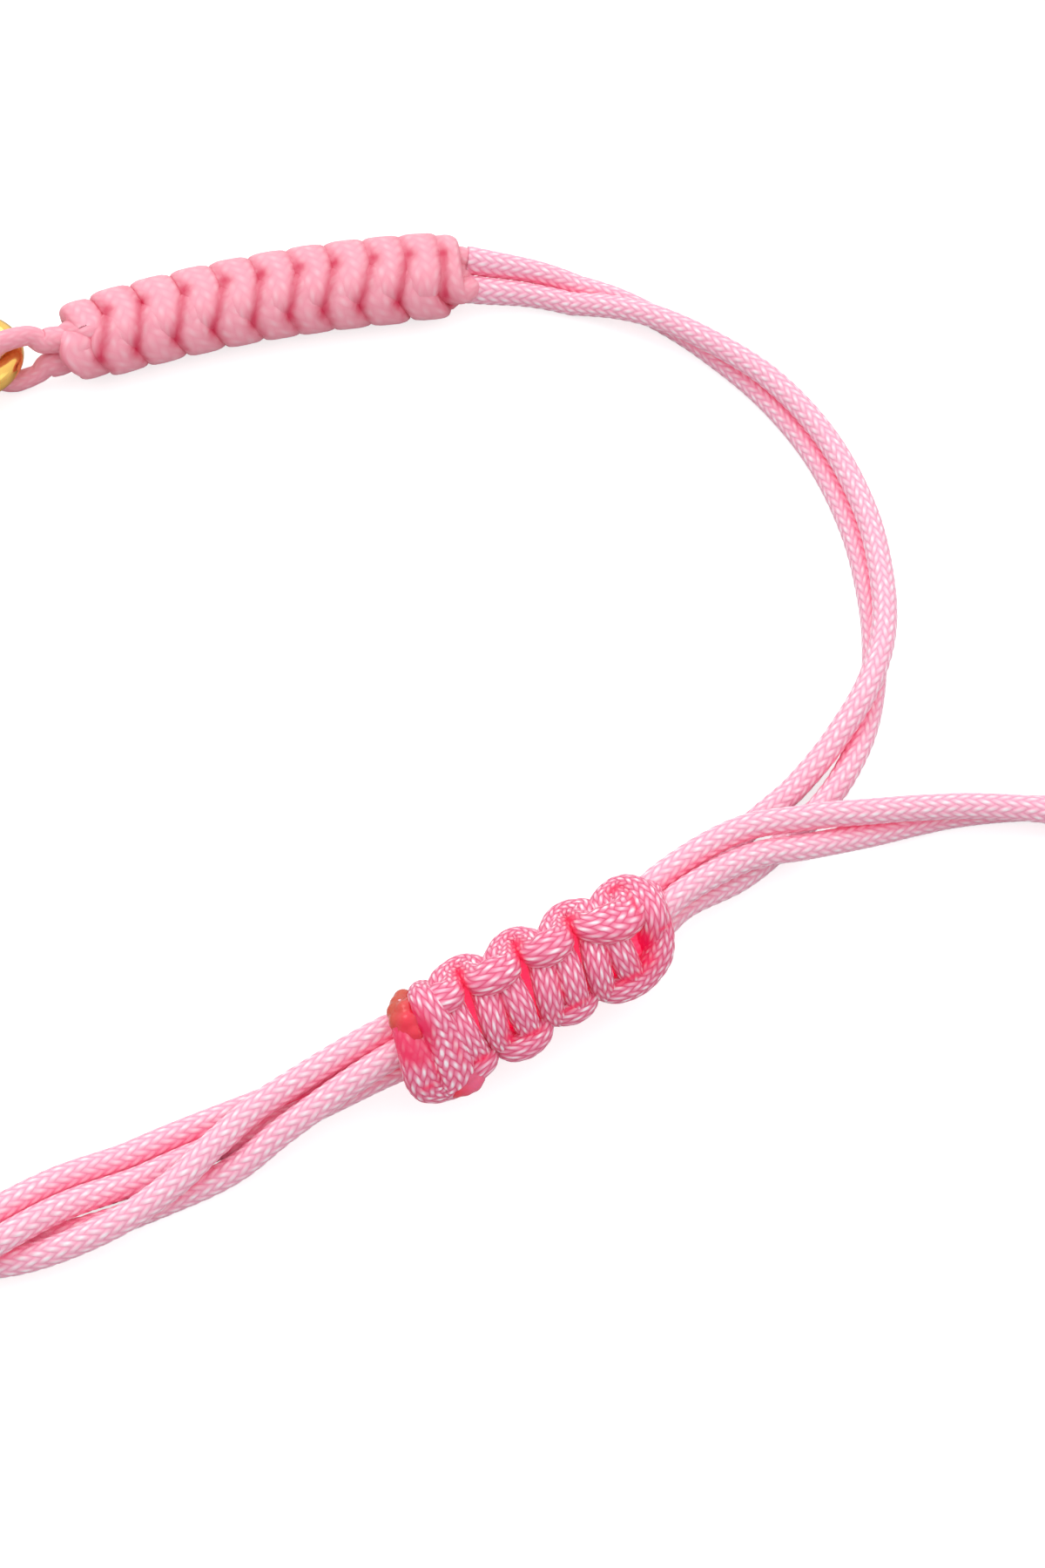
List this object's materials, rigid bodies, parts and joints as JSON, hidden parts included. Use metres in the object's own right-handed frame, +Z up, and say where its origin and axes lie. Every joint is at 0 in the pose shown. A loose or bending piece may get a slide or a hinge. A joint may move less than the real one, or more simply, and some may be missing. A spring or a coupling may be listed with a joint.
{
  "type": "cord bracelet",
  "caption": "Adjustable wrist bracelet of braided cord: knotted bands joined by a metal ring, and paired cords closed by a sliding square knot.",
  "frame": {"origin": "the middle of the wrist opening, on the surface that the bracelet lies on", "axes": "+X to the right in the picture, +Y away from the viewer, +Z up from the surface"},
  "size_m": [0.0614, 0.059, 0.0044],
  "materials": {
    "pink_cord": "braided, slightly silky",
    "melted_cord": "melted, glossy",
    "gold_metal": "polished gold plating"
  },
  "bodies": {
    "root": {"ring": "gold_metal", "ring_loop_right": "pink_cord", "ring_loop_left": "pink_cord", "knotted_band_right": "pink_cord", "knotted_band_left": "pink_cord", "cord_right_outer": "pink_cord", "cord_right_inner": "pink_cord", "cord_left_outer": "pink_cord", "cord_left_inner": "pink_cord", "sliding_knot": "pink_cord", "sealed_end": "melted_cord"}
  },
  "joints": []
}
